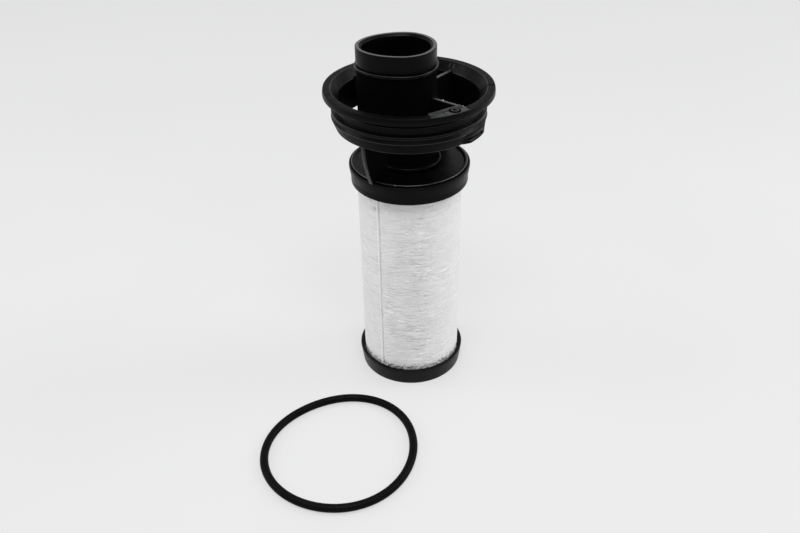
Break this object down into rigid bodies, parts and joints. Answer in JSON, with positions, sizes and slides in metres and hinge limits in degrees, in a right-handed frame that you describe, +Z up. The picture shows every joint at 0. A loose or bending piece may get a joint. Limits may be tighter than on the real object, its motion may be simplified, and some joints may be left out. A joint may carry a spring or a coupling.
{
  "type": "oil filter element",
  "caption": "Tall white felt-wrapped coalescing filter cylinder with black end caps, an egg-shaped inlet duct inside a wide grooved sealing collar, and a loose round rubber head seal.",
  "frame": {"origin": "centre of the lower end cap's flat foot, on the surface the element stands on", "axes": "+Z up the element's axis to the duct's mouth; the duct's pointed side faces -X; +Y points to the back"},
  "size_m": [0.1486, 0.2015, 0.2318],
  "materials": {
    "nylon": "matte",
    "nylon_gloss": "gloss",
    "felt": "matte",
    "scrim": "matte",
    "medium": "matte",
    "potting": "satin",
    "steel": "satin",
    "rubber": "satin"
  },
  "bodies": {
    "element": {"lower_end_cap": "nylon", "lower_potting": "potting", "inner_support_tube": "steel", "outer_support_tube": "steel", "inner_scrim": "scrim", "outer_scrim": "scrim", "pleated_media": "medium", "drainage_sleeve": "felt", "sleeve_seam": "felt", "upper_potting": "potting", "upper_end_cap": "nylon", "weld_ring": "nylon", "inlet_duct": "nylon", "sealing_collar": "nylon", "rib_front_right": "nylon", "rib_back_right": "nylon", "rib_back_left": "nylon", "strut_front_left": "nylon", "strut_back_right": "nylon", "collar_shelf": "nylon", "mould_insert": "nylon", "ejector_mark": "nylon_gloss", "locking_lug": "nylon"},
    "seal": {"head_seal": "rubber"}
  },
  "joints": [
    {"name": "seal_lift", "type": "slide", "parent": "element", "child": "seal", "axis": [0, 0, 1], "range_m": [0, 0.25]}
  ]
}
